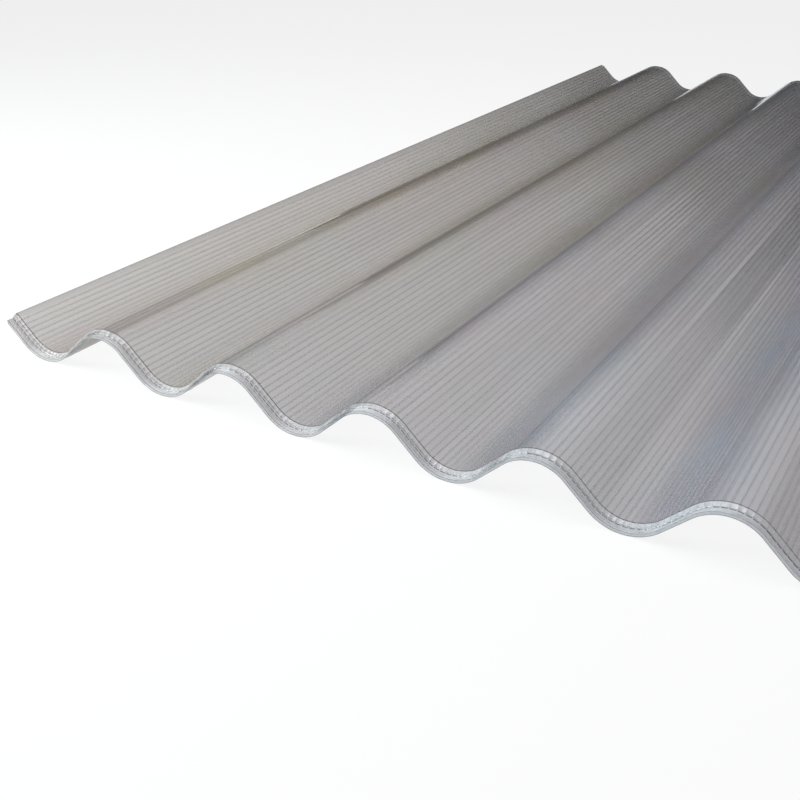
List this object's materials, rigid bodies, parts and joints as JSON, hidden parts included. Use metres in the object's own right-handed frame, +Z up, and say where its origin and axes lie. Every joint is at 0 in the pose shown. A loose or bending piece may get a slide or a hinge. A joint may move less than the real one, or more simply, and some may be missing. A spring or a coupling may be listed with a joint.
{
  "type": "corrugated polycarbonate sheet",
  "caption": "Long wavy sheet of clear twin-wall plastic roofing with hollow lengthwise cells and pressed, sealed ends.",
  "frame": {"origin": "middle of the sheet's length and width, on the plane its troughs rest on", "axes": "+X across the waves, from the high side edge to the low one; +Y along the waves; +Z up"},
  "size_m": [0.92, 2, 0.054],
  "materials": {
    "clear_polycarbonate": "gloss"
  },
  "bodies": {
    "root": {"corrugated_sheet": "clear_polycarbonate"}
  },
  "joints": []
}
